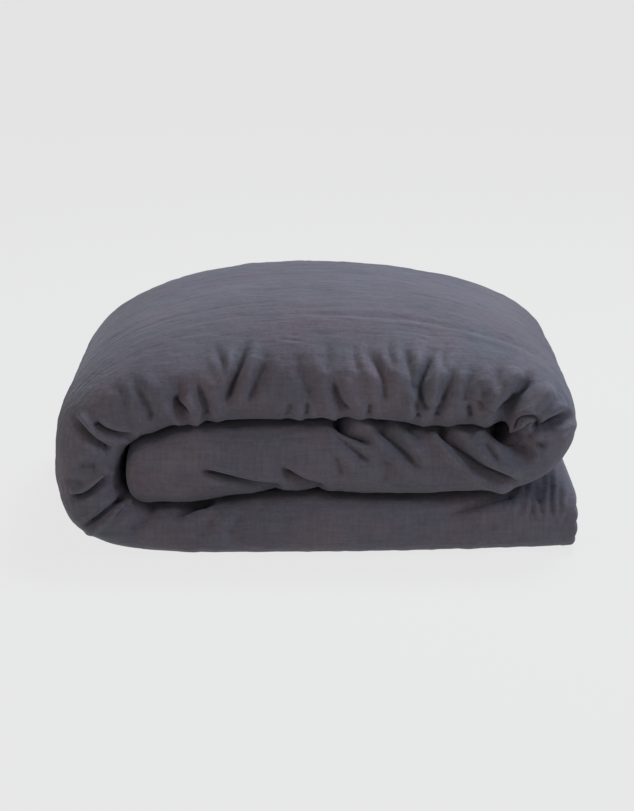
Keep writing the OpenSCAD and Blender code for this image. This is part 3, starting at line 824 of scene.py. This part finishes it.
def quilted_layer(name, outer, inner, run, first, last, low, high):
    """One layer of filling from run number first to last, between two heights in the strip."""
    inside = np.flatnonzero((run >= first) & (run <= last))[::3]
    angle = np.linspace(0, 2 * np.pi, 72, endpoint=False)
    c, s = np.cos(angle), np.sin(angle)
    depth = np.sign(c) * np.abs(c) ** 0.5
    thick = np.sign(s) * np.abs(s) ** 0.55
    step = np.arange(len(inside)) * SPACING * 3
    pinch = 1 - 0.45 * np.abs(np.cos(np.pi * step / CHANNEL)) ** 10
    ends = np.minimum(step, step[-1] - step)
    rounded = np.sqrt(np.clip(1 - (1 - np.clip(ends / 16, 0, 1)) ** 2, 0.02, 1))
    height = (low + high) / 2 + (high - low) / 2 * thick[None] * (pinch * rounded)[:, None] * 0.9
    reach = 172 - 30 * abs(low + high) / 2
    y = reach * depth[None] * (0.9 + 0.1 * rounded)[:, None]
    height = height * (0.86 - 0.10 * (np.abs(y) / reach) ** 3)
    middle, half = (outer[inside] + inner[inside]) / 2, (outer[inside] - inner[inside]) / 2
    grid = np.empty(height.shape + (3,))
    grid[..., 0] = middle[:, :1] + half[:, :1] * height
    grid[..., 1] = y
    grid[..., 2] = middle[:, 1:] + half[:, 1:] * height
    grid += noise(grid, 28, 41)[..., None] * 1.2
    centre = grid.mean(1, keepdims=True)
    grid = np.concatenate([centre[:1] + (grid[:1] - centre[:1]) * 0.02, grid,
                           centre[-1:] + (grid[-1:] - centre[-1:]) * 0.02])
    return grid_object(name, grid, WADDING, False)


def build_filling():
    outer, inner, run = strip_path(SPACING)
    layers = 4
    runs = {"bottom": (0.06, 0.98, False), "crown": (3.0, 3.98, False), "inner": (5.03, 5.97, False)}
    for name, (first, last, bends) in runs.items():
        for layer in range(layers):
            high = 1 - 2 * layer / layers
            piece = quilted_layer(f"wadding_{name}_{layer + 1}", outer, inner, run, first, last,
                                  high - 2 / layers, high)
            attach(piece, "lower" if name == "bottom" else "upper")
            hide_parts(f"{name}_fill_{layer + 1}")
    left = quilted_layer("wadding_left_turn", outer, inner, run, 1.0, 2.98, -0.95, 0.95)
    follow(left, True)
    right = quilted_layer("wadding_right_turn", outer, inner, run, 4.0, 5.0, -0.8, 0.95)
    follow(right, False)
    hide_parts("left_turn_fill_lower", "left_turn_fill_upper")
    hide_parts("right_turn_fill")


# ---------------------------------------------------------------------------------------------
# The long edges at the back: the cover's side seams, and the insert's binding inside them
# ---------------------------------------------------------------------------------------------
EDGE_HEIGHTS = (-0.24, -0.72)   # of the two side edges, between the strip's faces
BACK_ROWS = 60               # rows before the first one in which the edges lie
EDGE_REACH = 30              # an edge line stays this close to the back


def edge_line(points, height, level):
    """The point of each ring at one height of its back, with the way out of the surface there."""
    normal = grid_normals(points)
    line, out = [], []
    for ring in range(len(points)):
        rows = np.arange(-BACK_ROWS, 0) % points.shape[1]
        rows = rows[points[ring, rows, 1] > points[ring, :, 1].max() - EDGE_REACH]
        order = np.argsort(height[ring, rows])
        pick = np.interp(level, height[ring, rows][order], rows[order].astype(float))
        low = int(pick)
        f = pick - low
        high = (low + 1) % points.shape[1]
        line.append(points[ring, low] * (1 - f) + points[ring, high] * f)
        out.append(normal[ring, low])
    return blurred(np.array(line), 2), blurred(np.array(out), 3)


def welt(name, line, out, width, proud, material):
    """A folded strip of cloth sewn along a line, proud of the surface, with its stitches pulled in."""
    forward = np.gradient(line, axis=0)
    forward /= np.linalg.norm(forward, axis=1, keepdims=True)
    out = out - forward * (out * forward).sum(1, keepdims=True)
    out /= np.linalg.norm(out, axis=1, keepdims=True)
    side = np.cross(forward, out)
    angle = np.linspace(0, 2 * np.pi, 10, endpoint=False)
    pulled = 1 + 0.22 * np.sin(np.arange(len(line)) * 2.1)
    c = np.sign(np.cos(angle)) * np.abs(np.cos(angle)) ** 0.7 * width / 2
    d = np.sin(angle) * proud
    grid = (line[:, None] + side[:, None] * c[None, :, None]
            + out[:, None] * (d[None] * pulled[:, None])[..., None])
    return grid_object(name, grid, material, False)


def build_edges(points, height, run, kind, node, material, width, proud):
    """Two welts along each body's part of the strip, in place of the CAD's seams or bindings."""
    first = int(np.argmax(run > FIRST_CUT))
    spans = {"lower": slice(4, first + 1), "upper": slice(first, len(run) - 6)}
    for body, span in spans.items():
        for number, level in enumerate(EDGE_HEIGHTS, 1):
            line, out = edge_line(points[span], height[span], level)
            piece = welt(f"{kind}_{body}_{number}", line, out, width, proud, material)
            follow(piece, body == "lower")
            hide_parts(f"{node}_{body}")


plain_points, cover_points, cover_height, cover_run = shaped_roll()
build_cover(cover_points, cover_run)
build_edges(cover_points, cover_height, cover_run, "side_seam", "side_seams", SEAM,
            4.0, 2.2)
inset_points = softened(plain_points, 4)
inset_points = inset_points - grid_normals(inset_points) * BINDING_INSET
build_edges(inset_points, cover_height, cover_run, "binding", "insert_binding", TAPE,
            6.0, 1.4)
build_ticking(plain_points, cover_run)
build_filling()


# ---------------------------------------------------------------------------------------------
# The CAD pieces inside keep their shapes, and get their own materials
# ---------------------------------------------------------------------------------------------
def node_material(node):
    if "button" in node:
        return BUTTON
    return TAPE if "loops" in node else SEAM


for node, objects in frame["nodes"].items():
    if node.startswith(("cover", "ticking", "side_seams", "insert_binding")) or "fill" in node:
        continue
    for obj in (objects if isinstance(objects, (list, tuple)) else [objects]):
        for slot in obj.material_slots:
            slot.material = node_material(node)
        if not obj.material_slots:
            obj.data.materials.append(node_material(node))


# ---------------------------------------------------------------------------------------------
# Stage, light and camera
# ---------------------------------------------------------------------------------------------
def stage_floor():
    """A round pale floor whose rim curves up into a low backdrop, the same from every side."""
    flat, bend, rise, turns = 8000, 1500, 3500, 96
    line = [(0.5, 0.0), (2000, 0.0), (5000, 0.0), (flat, 0.0)]
    for k in range(1, 13):
        a = math.radians(90 * k / 12)
        line.append((flat + bend * math.sin(a), bend * (1 - math.cos(a))))
    line.append((flat + bend, rise))
    angle = np.linspace(0, 2 * np.pi, turns, endpoint=False)
    rings = np.array([[[r * np.cos(a), r * np.sin(a), z] for a in angle] for r, z in line])
    material, nodes, links, shader = new_material("backdrop_paper", 1.0)
    shader.inputs["Base Color"].default_value = (0.035, 0.035, 0.035, 1)
    shader.inputs["Emission Color"].default_value = (1, 1, 1, 1)
    shader.inputs["Emission Strength"].default_value = 0.76
    shader.inputs["Specular IOR Level"].default_value = 0.0
    floor = grid_object("studio_floor", rings, material, False)
    return floor


def area_light(name, place, target, size, watts, colour):
    data = bpy.data.lights.new(name, "AREA")
    data.shape = "RECTANGLE"
    data.size, data.size_y = size
    data.energy = watts
    data.color = colour
    light = bpy.data.objects.new(name, data)
    bpy.context.scene.collection.objects.link(light)
    light.location = place
    direction = Vector(target) - Vector(place)
    light.rotation_euler = direction.to_track_quat("-Z", "Y").to_euler()
    return light


def world_light(colour, strength):
    world = bpy.data.worlds.new("studio")
    bpy.context.scene.world = world
    world.use_nodes = True
    background = world.node_tree.nodes["Background"]
    background.inputs["Color"].default_value = (*colour, 1)
    background.inputs["Strength"].default_value = strength


VIEW_HEIGHT = 1025.1         # how much of the front plane the view is high
VIEW_MIDDLE = 198.44         # the view's middle above the foot of the front
SENSOR = 24


def make_camera():
    data = bpy.data.cameras.new("camera")
    camera = bpy.data.objects.new("camera", data)
    bpy.context.scene.collection.objects.link(camera)
    forward = Vector((0, math.cos(ELEVATION), -math.sin(ELEVATION)))
    up = Vector((0, math.sin(ELEVATION), math.cos(ELEVATION)))
    target = Vector(LOOK_AT) + up * VIEW_MIDDLE
    camera.location = (target - forward * CAMERA_DISTANCE) * MM
    camera.rotation_euler = forward.to_track_quat("-Z", "Y").to_euler()
    data.sensor_fit = "VERTICAL"
    data.sensor_height = SENSOR
    data.lens = SENSOR * CAMERA_DISTANCE / VIEW_HEIGHT
    data.clip_end = 100
    bpy.context.scene.camera = camera
    return camera


stage_floor()
world_light((0.93, 0.95, 1.0), 0.12)
area_light("top_right", (0.8, 0.7, 2.8), (0, 0, 0.15), (1.2, 1.0), 112, (0.86, 0.93, 1.0))
area_light("front_left", (-1.9, -2.0, 2.5), (0, 0, 0.15), (1.1, 0.9), 30, (1.0, 0.86, 0.74))
area_light("right", (2.2, -1.2, 1.8), (0.2, -0.2, 0.1), (0.8, 0.8), 34, (0.66, 0.80, 1.0))
make_camera()
bpy.context.scene.view_settings.view_transform = "Standard"
